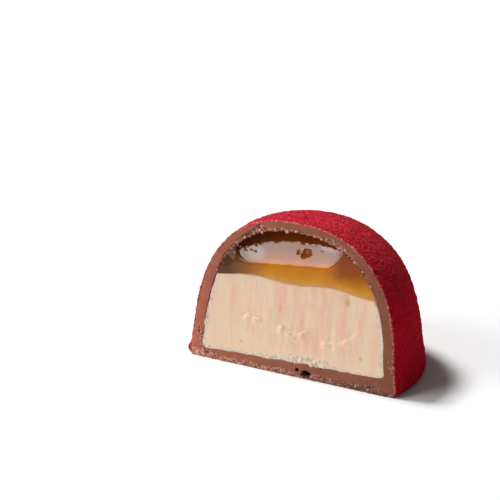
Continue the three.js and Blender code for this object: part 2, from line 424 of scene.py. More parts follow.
def knife_drag(across, up, flat, from_inside):
    """The faint relief of the smooth cut, which the knife drew out along the wall."""
    turn = np.arctan2(up - SHELL_MIDDLE_UP, across)
    drawn = np.stack([from_inside, 1.2 * turn, np.zeros_like(turn)], axis=-1)
    return 0.012 * grain(flat, 1.6, 44) + 0.014 * grain(drawn, 0.16, 46) * smooth(4, 7, up)


def shell_face_relief(points, from_inside, inward):
    """The marks on the shell's cut face. Gives the moved points and how broken the face is at each,
    which is below 0 in the holes, where the material paints dark shade. from_inside is the distance from
    the face's inner edge, and inward points to its middle."""
    across, up, _ = face_coordinates(points)
    flat = on_face(across, up)
    along = flat * np.array([1, 0, 0])
    coarse = facets(flat, 0.40, 31)
    fine = facets(flat, 0.18, 36)
    chunks = smooth(-0.5, 0.6, grain(flat, 0.9, 47))
    band = rough_band(across, up, along)
    lip = broken_lip(across, up, along, from_inside)
    scar = fade(0.38, 0.62, nearest_of(SCARS, across, up) + 0.16 * grain(flat, 0.4, 43))
    notch = fade(0.6, 1.2, nearest_of(NOTCHES, across, up) + 0.25 * fine)
    edge_line = smooth(6.5, 7.5, across) * smooth(11, 12, up) * fade(0.16, 0.3, from_inside)
    push = band * (0.03 + 0.045 * coarse + 0.08 * chunks * fine) - NOTCH_DEPTH * notch
    push -= lip * (0.02 + 0.28 * left_lip(across) - 0.18 * coarse - 0.09 * fine)
    push -= scar * (0.02 - 0.08 * coarse - 0.09 * fine)
    push += knife_drag(across, up, flat, from_inside)
    push += edge_line * (0.02 + 0.08 * fine)
    ragged = LIP_RAGGEDNESS * lip * layered_grain(along + flat * 0.4, 0.5, 45)
    broken = np.maximum(np.maximum(band, lip), np.maximum(scar, 0.9 * edge_line)) - 2 * notch
    return points - CUT_BACK * push[..., None] + inward * ragged[..., None], broken


def chocolate_shell():
    """The dome's wall and base cap as one casting, with the cavity open at the cut."""
    wall = fan_over(CUT_FOOT, COAT_THICKNESS - OVERLAP, SHELL_COLUMNS, HIDDEN_ROWS)
    foot_line = strip(wall[-1, -1][None], wall[-1, 0][None], SHELL_FOOT_POINTS)[1:-1, 0]
    ring = np.concatenate([wall[-1], foot_line])
    across, up, _ = face_coordinates(ring)
    angles = np.arctan2(up - SHELL_MIDDLE_UP, across)
    cavity = bowl_behind(SHELL_MIDDLE, angles, inside_cavity, HIDDEN_ROWS * 2)
    face = strip(cavity[0], ring, SHELL_FACE_ROWS)
    from_inside = np.linalg.norm(face - face[:1], axis=-1)
    inward = unit(SHELL_MIDDLE - face)
    face, broken = shell_face_relief(face, from_inside, inward)
    face[..., 2] = np.maximum(face[..., 2], 0)
    cavity[0], ring = face[0], face[-1]
    wall[-1] = ring[:SHELL_COLUMNS]
    underside = np.concatenate([wall[0], ring[SHELL_COLUMNS:]])
    return make_piece("milk_chocolate_shell", [wall, cavity, face], (1, 2), {2: broken}, underside)


# The crumbs along the shell's broken edges

# Crumbs lie round the lip between two angles in degrees, seen from the face's middle.
LIP_CRUMBS = 120
LIP_CRUMBS_FROM, LIP_CRUMBS_TO = 20, 158
BAND_CRUMBS = 26
BAND_CRUMBS_FROM, BAND_CRUMBS_TO = -13.6, 13.8
# The smallest crumb of each place, and how much larger the largest one is
LIP_CRUMB, LIP_CRUMB_GROWTH = 0.06, 0.13
EDGE_CRUMB, EDGE_CRUMB_GROWTH = 0.06, 0.05
BAND_CRUMB, BAND_CRUMB_GROWTH = 0.05, 0.12
# Crumbs that have fallen on the bubble's edge: across, up, how far behind the cut, and size
FALLEN_CRUMBS = [
    (-8.3, 15.0, 0.3, 0.15), (-7.9, 14.8, 0.4, 0.12), (-7.4, 15.1, 0.4, 0.17), (-6.9, 14.9, 0.5, 0.10),
    (-6.5, 14.8, 0.5, 0.13), (-9.0, 14.2, 0.1, 0.14), (2.2, 16.8, 0.4, 0.11), (5.7, 16.6, 0.1, 0.17),
]


def crumb(random, place, size):
    """One rough crumb of chocolate round a place, as its points and triangles."""
    work = bmesh.new()
    bmesh.ops.create_icosphere(work, subdivisions=2, radius=1)
    points = np.array([vertex.co for vertex in work.verts])
    triangles = np.array([[vertex.index for vertex in face.verts] for face in work.faces])
    work.free()
    stretch = size * random.uniform(0.6, 1.3, 3)
    lumps = 1 + 0.6 * layered_grain(points + random.uniform(-50, 50, 3), 0.7, 61)
    return place + points * lumps[:, None] * stretch, triangles


def crumb_places(random):
    """Where the crumbs lie and how large they are: on the broken lip, on the crumbly edge next
    to it, on the rough band at the cut's foot, and fallen on the bubble's edge."""
    angles = np.linspace(math.radians(LIP_CRUMBS_FROM), math.radians(LIP_CRUMBS_TO), LIP_CRUMBS)
    angles = angles + random.normal(0, 0.01, LIP_CRUMBS)
    places = []
    for place in bowl_behind(SHELL_MIDDLE, angles, inside_cavity, 2)[0]:
        across = place[0]
        inward = unit(SHELL_MIDDLE - place)
        if LIP_FROM < across < LIP_TO:
            place = place - inward * random.uniform(-0.08, 0.35)
            place = place + CUT_BACK * random.uniform(-0.04, 0.30)
            places.append((place, LIP_CRUMB + LIP_CRUMB_GROWTH * random.random() ** 2))
        elif LIP_TO < across < EDGE_TO:
            place = place - inward * random.uniform(0, 0.15)
            place = place + CUT_BACK * random.uniform(-0.03, 0.02)
            places.append((place, EDGE_CRUMB + EDGE_CRUMB_GROWTH * random.random()))
    for _ in range(BAND_CRUMBS):
        across = random.uniform(BAND_CRUMBS_FROM, BAND_CRUMBS_TO)
        place = on_face(across, random.uniform(0.16, 0.62))
        place = place + CUT_BACK * random.uniform(-0.08, 0.05)
        places.append((place, BAND_CRUMB + BAND_CRUMB_GROWTH * random.random() ** 2))
    for across, up, behind, size in FALLEN_CRUMBS:
        places.append((on_face(across, up) + CUT_BACK * behind, size))
    return places


def chocolate_crumbs():
    """All the loose crumbs on the shell's broken edges, as one piece."""
    random = np.random.default_rng(7)
    points, triangles = [], []
    count = 0
    for place, size in crumb_places(random):
        lump, faces = crumb(random, place, size)
        lump[:, 2] = np.maximum(lump[:, 2], 0.0)
        points.append(lump)
        triangles.append(faces + count)
        count += len(lump)
    mesh = bpy.data.meshes.new("chocolate_crumbs")
    mesh.from_pydata((np.concatenate(points) * MM).tolist(), [], np.concatenate(triangles).tolist())
    mesh.shade_smooth()
    return add_object("chocolate_crumbs", mesh)


# The cream

CREAM_ANGLES = 560
CREAM_RINGS = 120
CREAM_MIDDLE = on_face(0.0, 6.4)
STREAK_HEIGHT = 0.035
PIT_DEPTH = 0.08
CREAM_SWELL = 0.06
RIM_WIDTH = 0.85
BEAD_HEIGHT = 0.10
CREVICE_DEPTH = 0.3
# Where the knife smeared the cream: the middle, radius and range in degrees of each curved mark
SMEARS = [(-0.2, 8.9, 3.3, 232, 312), (4.9, 10.0, 4.75, 254, 330), (-5.6, 7.6, 1.2, 215, 315)]
SMEAR_STEP = 0.20
SMEAR_CRUMBLE = 0.08


def cream_streaks(across, up, flat):
    """The upright streaks that the knife drew in the middle of the cream."""
    streaks = grain(flat * np.array([1, 0, 0.12]), 0.75, 51)
    streaks += 0.5 * grain(flat * np.array([1, 0, 0.2]), 0.3, 52)
    middle = smooth(1.9, 4.5, up) * fade(11.2, 11.6, up) * fade(9, 12, abs(across))
    return STREAK_HEIGHT * streaks * middle


def cream_pits(across, up, flat):
    """The pits, at 0 and below: sparse ones all over and more of them along the left edge."""
    pits = np.minimum(0, layered_grain(flat, 0.55, 53) + 0.75)
    pits += np.minimum(0, grain(flat, 0.35, 48) + 0.1) * fade(-12.2, -11.2, across) * smooth(3, 5, up)
    return PIT_DEPTH * pits


def crumbly_rim(across, up, flat, edge):
    """1 in the crumbly rim at the foot and the sides, fainter at the right and the upper left."""
    width = RIM_WIDTH + 0.35 * grain(flat, 1.3, 55)
    rim = fade(width - 0.45, width, edge) * fade(10.3, 11.2, up)
    rim *= (1 - 0.6 * smooth(6, 11, across)) * (1 - 0.5 * smooth(7, 9, up) * fade(-9, -7, across))
    return rim


def knife_smear(across, up, flat, middle_across, middle_up, radius, first, last):
    """The step and the crumbs along one curved smear of the knife."""
    from_line = np.hypot(across - middle_across, up - middle_up) - radius + 0.18 * grain(flat, 0.7, 57)
    turn = np.degrees(np.arctan2(up - middle_up, across - middle_across)) % 360
    strength = smooth(first, first + 12, turn) * fade(last - 12, last, turn)
    strength = strength * (0.6 + 0.5 * grain(flat, 0.6, 58))
    step = smooth(-0.16, 0.10, from_line) * fade(0.25, 1.6, from_line)
    crumble = SMEAR_CRUMBLE * hump(from_line, 0, 0.25) * facets(flat, 0.3, 60)
    return strength * (SMEAR_STEP * step + crumble)


def cream_face_relief(points, edge):
    """The marks in the soft cream: streaks, pits, a crumbly rim, a torn line near the foot, a crevice at
    the upper left, a bead along the top and three smears. Gives the moved points and how pale they are,
    below 0 where jelly has soaked in; the highest values also mark the knife's smear of chocolate along
    the edge and painted shade in the crevice. edge is the distance from the cream's edge."""
    across, up, _ = face_coordinates(points)
    flat = on_face(across, up)
    rim = crumbly_rim(across, up, flat, edge)
    torn = np.exp(-((across - 2.4) / 2.6) ** 2 - ((up - 2.55 - 0.15 * grain(flat, 0.8, 59)) / 0.3) ** 2)
    crevice = smooth(5.5, 7, up) * fade(-8, -7, across)
    crevice *= fade(0.10, 0.30, edge + 0.08 * grain(flat, 0.5, 49))
    push = cream_streaks(across, up, flat) + cream_pits(across, up, flat)
    push += CREAM_SWELL * grain(flat, 3.5, 54)
    push += (0.04 * rim + 0.16 * torn) * layered_grain(flat, 0.4, 56) * smooth(0, 0.15, edge)
    bead = hump(edge, 0.22, 0.12) * smooth(10.3, 10.8, up)
    push += BEAD_HEIGHT * bead * smooth(-0.3, 0.6, grain(flat, 1.1, 62))
    for smear in SMEARS:
        push += knife_smear(across, up, flat, *smear)
    smear_and_shade = fade(0.02, 0.16, edge) * fade(10.3, 11, up)
    # Painted shade: the crevice at the upper left is marked like the edge's chocolate smear, whose brown
    # stands in for the shade in it.
    smear_and_shade = np.maximum(smear_and_shade, crevice)
    soaked = fade(0.12, 0.45, edge) * smooth(10.6, 11.3, up)
    pale = np.maximum(np.maximum(rim, torn), crevice)
    return points - CUT_BACK * push[..., None], 0.75 * pale + 0.25 * smear_and_shade - soaked


def ragged_edge(ring, edge):
    """How the knife dragged the cream's edge out over the shell in places and in at others."""
    across, up, _ = face_coordinates(ring)
    outward = unit(ring - CREAM_MIDDLE)
    amount = 0.13 + 0.13 * hump(across, 1.5, 4) * fade(2.5, 4, up)
    amount = amount * (1 - 0.5 * smooth(6, 11, across)) * fade(10, 11, up)
    spread = amount * layered_grain(ring, 0.9, 50)
    near_edge = fade(0, 0.5, edge)
    raised = 0.07 * smooth(0, 0.06, spread) * near_edge
    return outward * (spread * near_edge)[..., None] - CUT_BACK * raised[..., None]


def cream_filling():
    """The block of cream: its cut face, and the rest as it lies in the shell."""
    def inside(points):
        return inside_cavity(points, OVERLAP) & (points[..., 2] < cream_height(points))

    rest, face = filling_surfaces(CREAM_MIDDLE, CREAM_ANGLES, inside, HIDDEN_ROWS * 2, CREAM_RINGS)
    edge = np.linalg.norm(face - rest[:1], axis=-1)
    face, paleness = cream_face_relief(face, edge)
    upper_left = fade(-9.5, -8, face[..., 0]) * smooth(6, 8, face[..., 2])
    recess = CREVICE_DEPTH * upper_left * fade(0, 0.25, edge) ** 2
    face += CUT_BACK * recess[..., None]
    face += ragged_edge(rest[0], edge)
    rest[0] = face[-1]
    return make_piece("pale_cream", [rest, face], (0, 1), {1: paleness})


# The caramel jelly

CARAMEL_ANGLES = 600
CARAMEL_RINGS = 108
CARAMEL_MIDDLE = on_face(-0.3, 14.4)
LEFT_END_DEPTH = 0.3
# How strongly the thin dark line of painted shade along the lip's left part is drawn
LIP_SHADE_LINE = 0.8
# Points of the jelly this near to the cut count as its face.
FACE_DEPTH = 1e-6


def lip_height(across, ends=True):
    """How far up the cut face the bubble's lip lies, with or without its dip and its ends."""
    start_across, start_up = LIP_START
    line = start_up + LIP_RISE * (across - start_across)
    if ends:
        line = line - LIP_DIP_DEPTH * hump(across, LIP_DIP, LIP_DIP_REACH)
        line = line + (np.maximum(0, LIP_LEFT - across) / LIP_LEFT_REACH) ** 2
        line = line + (np.maximum(0, LIP_EASE - across) / LIP_EASE_REACH) ** 2
        line = line + (np.maximum(0, across - LIP_RIGHT) / LIP_RIGHT_REACH) ** 2
    return line


def bubble_depth(across, up):
    """How far the jelly's face recedes behind the cut: the floor of the opened bubble, and the
    band below its lip, which bulges a little and sinks in at the left end."""
    flat = on_face(across, up)
    over_lip = up - lip_height(across)
    above = np.maximum(up - lip_height(across, ends=False), 0)
    floor = FLOOR_SLOPE * above + FLOOR_CURVE * above ** 2
    floor += 0.012 * grain(flat, 2.6, 72) * smooth(0.2, 1, above)
    dimple = np.hypot((across - DIMPLE[0]) / DIMPLE_REACH[0], (up - DIMPLE[1]) / DIMPLE_REACH[1])
    floor += DIMPLE_DEPTH * np.maximum(0, 1 - dimple - 0.45 * layered_grain(flat, 0.6, 73))
    height = np.clip((up - CREAM_TOP) / (lip_height(across) - CREAM_TOP), 0, 1)
    band = -JELLY_BULGE * np.sqrt(np.sin(math.pi * height))
    left_end = LEFT_END_DEPTH * fade(-10, -7, across) * smooth(0, 2.5, up - CREAM_TOP)
    inside = smooth(0, 0.12, over_lip)
    return floor * inside + (band + left_end) * (1 - inside)


def caramel_jelly():
    """The jelly over the cream, with a bulging lip in front and the bubble's dish behind it. Its "shade"
    rises with the height above the cream, and is below 0 along the lip's left part, where the material
    paints a thin dark line of shade."""
    def inside(points):
        above = points[..., 2] > cream_height(points) - OVERLAP
        return inside_cavity(points, OVERLAP) & above

    rest, face = filling_surfaces(
        CARAMEL_MIDDLE, CARAMEL_ANGLES, inside, HIDDEN_ROWS * 3, CARAMEL_RINGS)
    rest[0] = face[-1]
    shaped, shades = [], {}
    for number, patch in enumerate((rest, face)):
        across, up, back = face_coordinates(patch)
        depth = bubble_depth(across, up)
        cream_up = cream_height(patch)
        level = lip_height(across, ends=False)
        height = np.clip((up - cream_up) / (level - cream_up), 0, 1)
        # A thin dark line of painted shade along the lip's left part, carried as a "shade" below 0
        outline = LIP_SHADE_LINE * hump(up, lip_height(across), 0.06) * fade(-7.5, -5, across)
        shades[number] = (0.5 * height + 0.5 * smooth(0, 3.2, up - level)) * (1 - outline) - outline
        recede = np.where(back < FACE_DEPTH, depth, np.maximum(0, depth - back))
        shaped.append(patch + CUT_BACK * recede[..., None])
    return make_piece("amber_jelly", shaped, (0, 1), shades)


# Materials

BLACK = (0, 0, 0)
WHITE = (1, 1, 1)
# A mark on the cut face is stretched this far back, so that it reaches every part of the face.
FAR_SCALE = 1000.0


def grey(value):
    """An even colour, which makes the one that it is multiplied with darker or lighter."""
    return (value, value, value)


def new_material(name):
    """A node material with its Principled shader and its links."""
    material = bpy.data.materials.new(name)
    material.use_nodes = True
    return material, material.node_tree.nodes["Principled BSDF"], material.node_tree.links


def add_node(material, kind, inputs=None, **settings):
    """A shader node with its settings, and with its inputs set to values or linked to sockets."""
    node = material.node_tree.nodes.new("ShaderNode" + kind)
    for name, value in settings.items():
        setattr(node, name, value)
    for name, value in (inputs or {}).items():
        if isinstance(value, bpy.types.NodeSocket):
            material.node_tree.links.new(value, node.inputs[name])
        else:
            node.inputs[name].default_value = value
    return node


def object_place(material, stretch=(1, 1, 1)):
    """The place on the piece in millimetres, as a texture coordinate."""
    place = add_node(material, "TexCoord").outputs["Object"]
    scale = [1 / MM * share for share in stretch]
    return add_node(material, "Mapping", {"Vector": place, "Scale": scale}).outputs["Vector"]


def noise_texture(material, place, lump, detail=3.0, roughness=0.55):
    """Noise whose lumps are about lump millimetres across."""
    inputs = {"Vector": place, "Scale": 1 / lump, "Detail": detail, "Roughness": roughness}
    return add_node(material, "TexNoise", inputs).outputs["Fac"]


def ramp(material, factor, *stops):
    """Colours along a factor, as (place, colour) stops."""
    node = add_node(material, "ValToRGB", {"Fac": factor})
    elements = node.color_ramp.elements
    while len(elements) < len(stops):
        elements.new(0.5)
    for element, (place, colour) in zip(elements, stops):
        element.position = place
        element.color = (*colour, 1)
    return node.outputs["Color"]


def mix_colour(material, factor, first, second, blend="MIX"):
    """Two colours mixed by a factor. Each of the three is a socket or a value."""
    inputs = {0: factor, 6: first, 7: second}
    for socket in (6, 7):
        if not isinstance(inputs[socket], bpy.types.NodeSocket):
            inputs[socket] = (*inputs[socket], 1)
    return add_node(material, "Mix", inputs, data_type="RGBA", blend_type=blend).outputs[2]


def product(material, first, second):
    """Two colours multiplied with each other."""
    return mix_colour(material, 1.0, first, second, "MULTIPLY")


def bump(material, height, depth, normal=None):
    """A bump from a height whose full step is depth millimetres."""
    inputs = {"Strength": 1, "Distance": depth * MM, "Height": height}
    if normal:
        inputs["Normal"] = normal
    return add_node(material, "Bump", inputs).outputs["Normal"]


def below_zero(material, value):
    """How far a value lies below 0, up to 1."""
    inputs = {"Value": value, "From Min": 0, "From Max": -1}
    return add_node(material, "MapRange", inputs).outputs["Result"]


def shade_value(material):
    """The value that a piece's mesh carries as its attribute "shade"."""
    return add_node(material, "Attribute", attribute_name="shade").outputs["Fac"]


def facing_up(material):
    """1 where a piece faces up, falling to 0 where it is steep."""
    normal = add_node(material, "TexCoord").outputs["Normal"]
    upward = add_node(material, "SeparateXYZ", {"Vector": normal}).outputs["Z"]
    return ramp(material, upward, (0.35, BLACK), (0.95, WHITE))


def across_share(material, place, half_width):
    """A value that rises from 0 at half_width left of the middle to 1 as far at its right."""
    across = add_node(material, "SeparateXYZ", {"Vector": place}).outputs["X"]
    inputs = {"Value": across, "From Min": -half_width, "From Max": half_width}
    return add_node(material, "MapRange", inputs).outputs["Result"]


def spot(material, place, across, up, wide, high):
    """1 in the middle of a small mark on the cut face, falling to 0 at its edge."""
    inputs = {"Vector": place, "Location": (across, 0, up), "Scale": (wide, FAR_SCALE, high)}
    local = add_node(material, "Mapping", inputs, vector_type="TEXTURE").outputs["Vector"]
    return add_node(material, "TexGradient", {"Vector": local}, gradient_type="SPHERICAL").outputs["Fac"]


def with_dots(material, place, colour, *dots):
    """A colour with sparse tiny dots. Each kind is its spacing and radius in mm, and its colour."""
    for spacing, radius, dot_colour in dots:
        cells = add_node(material, "TexVoronoi", {"Vector": place, "Scale": 1 / spacing})
        edge = radius / spacing
        dot = ramp(material, cells.outputs["Distance"], (edge * 0.6, grey(0.8)), (edge, BLACK))
        colour = mix_colour(material, dot, colour, dot_colour)
    return colour


# The velvet between and on its grains, the powder on top, which is also painted sheen where the light
# falls, and the powder on the rim
DEEP_RED = (0.44, 0.001, 0.011)
BRIGHT_RED = (0.60, 0.002, 0.021)
TOP_POWDER_AND_SHEEN = (0.85, 0.15, 0.18)
RIM_POWDER = (0.82, 0.36, 0.29)
SHEEN_TINT = (1.0, 0.42, 0.46, 1)


def velvet_material():
    """Sprayed cocoa butter velvet: deep red, matt, with a powdery grain, and paler pink specks on its
    upward faces that are powder and painted sheen.
    """
    material, shader, links = new_material("velvet_spray")
    place = object_place(material)
    coarse = noise_texture(material, place, 0.30)
    fine = noise_texture(material, place, 0.17, roughness=0.75)
    drift = noise_texture(material, place, 1.6)
    red = ramp(material, coarse, (0.36, DEEP_RED), (0.64, BRIGHT_RED))
    grit = ramp(material, fine, (0.38, grey(0.58)), (0.62, grey(1.42)))
    red = product(material, red, grit)
    # Painted sheen: pale pink specks on the faces that look up, where the light falls, stand in for the
    # crown's sheen as well as for powder.
    powder = ramp(material, fine, (0.48, BLACK), (0.64, grey(0.65)))
    powder = product(material, powder, facing_up(material))
    red = mix_colour(material, powder, red, TOP_POWDER_AND_SHEEN)
    rim = product(material, shade_value(material), fine)
    powdered = ramp(material, rim, (0.44, BLACK), (0.58, grey(0.85)))
    red = mix_colour(material, powdered, red, RIM_POWDER)
    shade = ramp(material, drift, (0.3, grey(0.84)), (0.7, grey(1.14)))
    links.new(product(material, red, shade), shader.inputs["Base Color"])
    shader.inputs["Roughness"].default_value = 0.9
    shader.inputs["Specular IOR Level"].default_value = 0.02
    shader.inputs["Sheen Weight"].default_value = 0.06
    shader.inputs["Sheen Roughness"].default_value = 0.5
    shader.inputs["Sheen Tint"].default_value = SHEEN_TINT
    normal = bump(material, coarse, 0.08)
    links.new(bump(material, fine, 0.20, normal), shader.inputs["Normal"])
    return material


# The chocolate where it is cut smooth, in its flecks and where it broke, and the near black that is
# painted shade in the holes. Stops of a ramp are a place and its colour.
CUT_BROWN = ((0.3, (0.33, 0.098, 0.054)), (0.7, (0.41, 0.132, 0.078)))
FLECK_BROWN = (0.52, 0.30, 0.22)
BROKEN_BROWN = ((0.40, (0.17, 0.048, 0.028)), (0.50, (0.40, 0.140, 0.090)), (0.60, (0.80, 0.44, 0.32)))
HOLE_SHADE = (0.035, 0.010, 0.006)
CRUMB_BROWN = ((0.40, (0.36, 0.12, 0.07)), (0.50, (0.56, 0.235, 0.16)), (0.60, (0.86, 0.52, 0.38)))
# Painted light and shade on the cut face from the left to the right: paler at the left edge, standing in
# for light glowing through and bouncing off the wall, and darker towards the right, painted shade
FACE_LIGHT_AND_SHADE = ((0.03, (1.45, 1.30, 1.25)), (0.09, grey(1.06)), (0.95, grey(0.66)))
# Painted light and shade on the broken chocolate: the lip at the upper right painted paler where the
# light falls on it, and the rough band at the lower right painted darker in its shade. Each is across,
# up, half width, half height and how much
BREAK_LIGHT_AND_SHADE = [(6.0, 16.2, 3.6, 2.6, 1.6), (9.5, 0.3, 9, 3, 0.72)]


def broken_colour(material, place):
    """The colour of the shell's broken places, from dark gaps to pale crumbs, with painted light on the
    lip at the upper right and painted shade on the rough band at the lower right.
    """
    lumps = mix_colour(material, 0.35, noise_texture(material, place, 0.16, 2),
                       noise_texture(material, place, 0.7, 2))
    colour = ramp(material, lumps, *BROKEN_BROWN)
    for across, up, wide, high, light_and_shade in BREAK_LIGHT_AND_SHADE:
        zone = spot(material, place, across, up, wide, high)
        light_and_shade_factor = ramp(material, zone, (0.0, WHITE), (0.6, grey(light_and_shade)))
        colour = product(material, colour, light_and_shade_factor)
    return colour


def chocolate_material():
    """Milk chocolate: satin with faint streaks and pale flecks where it was cut, and crumbly where it
    broke. Painted shade makes its holes nearly black, and painted light and shade lie across its face
    and on two of its broken places."""
    material, shader, links = new_material("milk_chocolate")
    place = object_place(material)
    streaks = noise_texture(material, place, 1.3)
    flecks = noise_texture(material, place, 0.14, 2)
    brown = ramp(material, streaks, *CUT_BROWN)
    fleck = ramp(material, flecks, (0.62, BLACK), (0.78, grey(0.25)))
    brown = mix_colour(material, fleck, brown, FLECK_BROWN)
    broken = shade_value(material)
    brown = mix_colour(material, broken, brown, broken_colour(material, place))
    # Painted shade: the holes are painted nearly black.
    brown = mix_colour(material, below_zero(material, broken), brown, HOLE_SHADE)
    # Painted light at the left edge of the face and painted shade towards its right
    light_and_shade = ramp(material, across_share(material, place, DOME_RADIUS), *FACE_LIGHT_AND_SHADE)
    links.new(product(material, brown, light_and_shade), shader.inputs["Base Color"])
    shader.inputs["Roughness"].default_value = 0.42
    shader.inputs["Specular IOR Level"].default_value = 0.22
    shader.inputs["Subsurface Weight"].default_value = 0.08
    shader.inputs["Subsurface Radius"].default_value = (1.0, 0.5, 0.3)
    shader.inputs["Subsurface Scale"].default_value = 0.4 * MM
    normal = bump(material, streaks, 0.02)
    links.new(bump(material, flecks, 0.012, normal), shader.inputs["Normal"])
    return material


def crumb_material():
    """Broken milk chocolate: rougher and unevenly lighter than the cut face."""
    material, shader, links = new_material("broken_chocolate")
    place = object_place(material)
    lumps = noise_texture(material, place, 0.3)
    links.new(ramp(material, lumps, *CRUMB_BROWN), shader.inputs["Base Color"])
    shader.inputs["Roughness"].default_value = 0.5
    links.new(bump(material, noise_texture(material, place, 0.1), 0.05), shader.inputs["Normal"])
    return material


# The cream in its streaks, in its pale clouds and in its crumbly rim, which is partly painted shade
# where it meets the shell, in the knife's smear of chocolate, also painted shade in the crevice at the
# upper left, and where jelly has soaked in
CREAM_STREAKS = ((0.36, (0.88, 0.66, 0.455)), (0.66, (0.89, 0.53, 0.38)))
CLOUD_CREAM = (0.92, 0.70, 0.485)
RIM_CREAM_AND_SHADE = ((0.34, (0.50, 0.36, 0.27)), (0.46, (0.71, 0.57, 0.45)), (0.62, (0.86, 0.76, 0.65)))
SMEAR_AND_CREVICE_SHADE = (0.56, 0.33, 0.26)
SOAKED_CREAM = (0.68, 0.34, 0.18)
# The zone of the face that is pinkest: across, up, half width and half height
PINK_ZONE = (1.5, 8.2, 13, 7)
# Tiny specks in the cream: the spacing, radius and colour of each kind. The pale kind is painted glints
# on the wet cream.
CREAM_SPECKS_AND_GLINTS = ((0.9, 0.07, (0.62, 0.40, 0.28)), (1.0, 0.075, (1.0, 0.86, 0.72)))
# Small marks in the cream: across, up, half width, half height and colour
CREAM_MARKS = [
    (-2.0, 8.2, 0.30, 0.8, (0.82, 0.38, 0.22)),
    (-4.9, 6.4, 1.0, 0.8, (0.82, 0.62, 0.36)),
    (-7.4, 3.0, 0.42, 0.38, (0.76, 0.58, 0.14)),
    (9.5, 4.0, 0.50, 0.42, (0.74, 0.54, 0.12)),
    (7.0, 11.6, 0.7, 0.7, (0.82, 0.50, 0.30)),
    (7.25, 10.7, 0.55, 0.9, (0.72, 0.40, 0.16)),
    (4.0, 6.5, 0.8, 4.5, (0.91, 0.58, 0.42)),
    (6.6, 8.0, 0.6, 4.0, (0.91, 0.58, 0.42)),
]


def cream_colour(material, place, streaks):
    """The cream's colour: pinker in its streaks, and paler in its clouds and its crumbly rim, which is
    greyer and partly painted shade where it meets the shell. The crevice at the upper left takes painted
    brown shade.
    """
    clouds = noise_texture(material, place, 3.2)
    zone = ramp(material, spot(material, place, *PINK_ZONE), (0.0, grey(0.74)), (0.5, grey(1.03)))
    pinkness = product(material, streaks, zone)
    cream = ramp(material, pinkness, *CREAM_STREAKS)
    pale = ramp(material, clouds, (0.45, BLACK), (0.75, grey(0.7)))
    cream = mix_colour(material, pale, cream, CLOUD_CREAM)
    # The crumbly rim is greyer than the cream, partly its own crumbs and partly painted shade where it
    # meets the shell.
    crumbly = ramp(material, noise_texture(material, place, 0.40), *RIM_CREAM_AND_SHADE)
    shade = shade_value(material)
    in_rim = ramp(material, shade, (0.0, BLACK), (0.6, grey(0.8)))
    cream = mix_colour(material, in_rim, cream, crumbly)
    # Brown of the knife's chocolate smear along the edge, and painted shade in the crevice at the upper
    # left.
    smear_and_shade = ramp(material, shade, (0.80, BLACK), (0.95, grey(0.45)))
    cream = mix_colour(material, smear_and_shade, cream, SMEAR_AND_CREVICE_SHADE)
    return mix_colour(material, below_zero(material, shade), cream, SOAKED_CREAM)


def with_marks(material, place, cream):
    """The cream's colour with its small marks, which have a ragged outline."""
    ragged = noise_texture(material, place, 0.35, 2)
    for across, up, wide, high, colour in CREAM_MARKS:
        mark = spot(material, place, across, up, wide, high)
        mark = product(material, mark, ragged)
        strength = ramp(material, mark, (0.10, BLACK), (0.32, grey(0.85)))
        cream = mix_colour(material, strength, cream, colour)
    return cream


def cream_material():
    """Pale fruit cream: soft, faintly pink in upright streaks, paler towards its edges, where its grey
    rim is partly painted shade.
    """
    material, shader, links = new_material("pale_cream")
    place = object_place(material)
    streaks = noise_texture(material, object_place(material, (1, 1, 0.16)), 1.4)
    cream = with_marks(material, place, cream_colour(material, place, streaks))
    links.new(with_dots(material, place, cream, *CREAM_SPECKS_AND_GLINTS), shader.inputs["Base Color"])
    shader.inputs["Roughness"].default_value = 0.36
    shader.inputs["Specular IOR Level"].default_value = 0.45
    shader.inputs["Subsurface Weight"].default_value = 0.35
    shader.inputs["Subsurface Radius"].default_value = (1.0, 0.55, 0.35)
    shader.inputs["Subsurface Scale"].default_value = 0.8 * MM
    fine = noise_texture(material, place, 0.22)
    normal = bump(material, streaks, 0.05)
    links.new(bump(material, fine, 0.045, normal), shader.inputs["Normal"])
    return material


# The jelly from the cream up to the bubble's lip and on to the crown, where its darkening is partly
# painted shade under the shell's crown, and its unevenness
JELLY_GOLD_AND_SHADE = (
    (0.0, (0.98, 0.50, 0.11)), (0.14, (1.0, 0.39, 0.012)), (0.48, (0.92, 0.28, 0.002)),
    (0.54, (0.70, 0.19, 0.003)), (1.0, (0.34, 0.065, 0.003)),
)
JELLY_CLOUDS = ((0.3, (0.86, 0.82, 0.8)), (0.7, (1.05, 1.05, 1.0)))
# The jelly at its left end, painted shade where it also lies over dark chocolate, in its right end, and
# along its lip, painted shade
LEFT_END_SHADE = (0.13, 0.045, 0.030)
RIGHT_END_RED = (0.33, 0.055, 0.0005)
LIP_SHADE = (0.05, 0.016, 0.010)
# Tiny bubbles in the jelly: the spacing, radius and colour of each kind. The pale kind is painted glints
# on them.
JELLY_BUBBLES_AND_GLINTS = ((0.9, 0.075, (0.20, 0.06, 0.01)), (1.1, 0.08, (1.0, 0.75, 0.45)))
# How far from the middle the jelly's ends lie, for the looks that change across it
JELLY_HALF_WIDTH = 10
LEFT_END_SHADE_STOPS = ((0.02, grey(0.95)), (0.10, grey(0.75)), (0.20, grey(0.45)), (0.32, BLACK))
SHINE_ACROSS = ((0.08, grey(0.58)), (0.50, grey(0.50)), (0.74, grey(0.60)), (0.80, grey(0.12)))
# Where the bubble's floor is wettest: across, up, half width and half height
WET_SPOTS = ((3.7, 16.5, 1.7, 0.5), (-6.2, 14.4, 1.8, 0.9))
JELLY_ABSORPTION = (0.93, 0.45, 0.04, 1)
JELLY_DENSITY = 520


